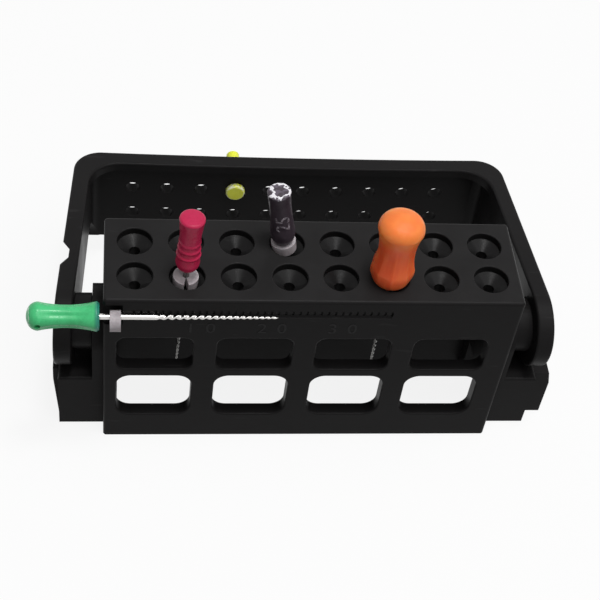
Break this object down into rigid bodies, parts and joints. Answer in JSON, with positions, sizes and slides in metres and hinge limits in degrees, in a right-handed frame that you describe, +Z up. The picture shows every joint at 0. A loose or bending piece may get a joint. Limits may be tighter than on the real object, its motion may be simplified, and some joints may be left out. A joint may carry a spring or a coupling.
{
  "type": "root canal file holder",
  "caption": "Small moulded rack with cups for root canal files, a measuring groove on its front and a hinged perforated cover, shown open and loaded with files.",
  "frame": {"origin": "middle of the front wall's foot, on the surface that the rack stands on", "axes": "+X along the rack to the right, +Y from its windowed front to its back, +Z up"},
  "size_m": [0.0792, 0.0479, 0.0433],
  "materials": {
    "black_plastic": "moulded black plastic with a faint sheen",
    "yellow_green_plastic": "soft yellow-green plastic",
    "pink_plastic": "glossy crimson pink plastic",
    "violet_plastic": "dark violet plastic, worn whitish on its end",
    "orange_plastic": "satin orange plastic",
    "green_plastic": "glossy green plastic",
    "grey_silicone": "pale grey silicone",
    "steel": "ground and fluted bright steel"
  },
  "bodies": {
    "rack": {"rack_block": "black_plastic", "pink_handle": "pink_plastic", "pink_blade": "steel", "pink_stop": "grey_silicone", "violet_handle": "violet_plastic", "violet_blade": "steel", "violet_stop": "grey_silicone", "orange_handle": "orange_plastic", "orange_blade": "steel", "green_handle": "green_plastic", "green_blade": "steel", "green_stop": "grey_silicone"},
    "cover": {"cover": "black_plastic", "marker_plug": "yellow_green_plastic"}
  },
  "joints": [
    {"name": "cover_hinge", "type": "hinge", "parent": "rack", "child": "cover", "pos_m": [0, 0.0069, 0.0174], "axis": [1, 0, 0], "range_deg": [0, 90]}
  ]
}
